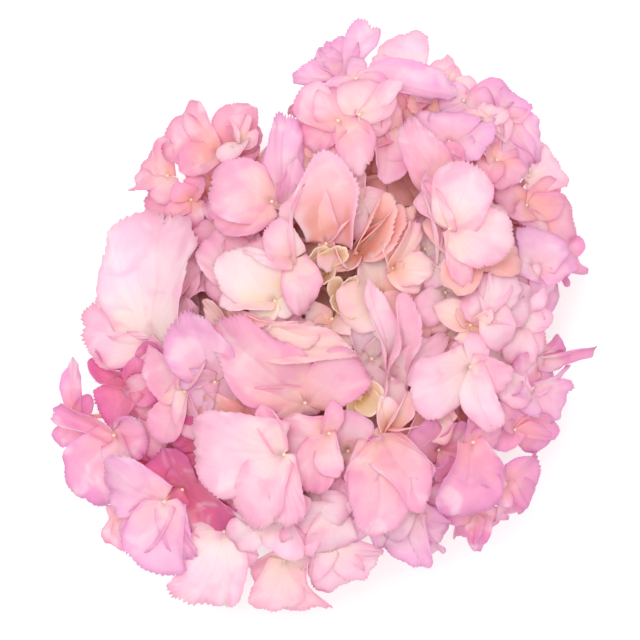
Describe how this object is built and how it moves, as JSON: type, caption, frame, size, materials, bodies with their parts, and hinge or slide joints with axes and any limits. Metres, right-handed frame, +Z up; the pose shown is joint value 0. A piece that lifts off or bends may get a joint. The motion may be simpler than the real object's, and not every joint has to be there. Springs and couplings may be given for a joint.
{
  "type": "mophead hydrangea flower head",
  "caption": "Dense domed mophead hydrangea head of pink toothed sepals, cut with a short stem and lying face up on its lowest florets.",
  "frame": {"origin": "under the middle of the head's outline, on the surface that it lies on", "axes": "+Z up out of the face of the head, +Y along its longest width, +X to the right as seen from above"},
  "size_m": [0.1844, 0.2004, 0.114],
  "materials": {
    "sepals": "soft matt petal, blush and rose pink with mauve rims, cream towards the eyes",
    "stem": "green half-woody bark with a pale cut end",
    "stalks": "pale green to pink fleshy flower stalk",
    "young_florets": "cream and yellow, matt, of florets still opening"
  },
  "bodies": {
    "root": {"stem": "stem", "spray_upper_left": "sepals", "spray_lower_left": "sepals", "spray_right": "sepals", "spray_upper_right": "sepals", "spray_lower_right": "sepals", "spray_bottom": "sepals"}
  },
  "joints": []
}
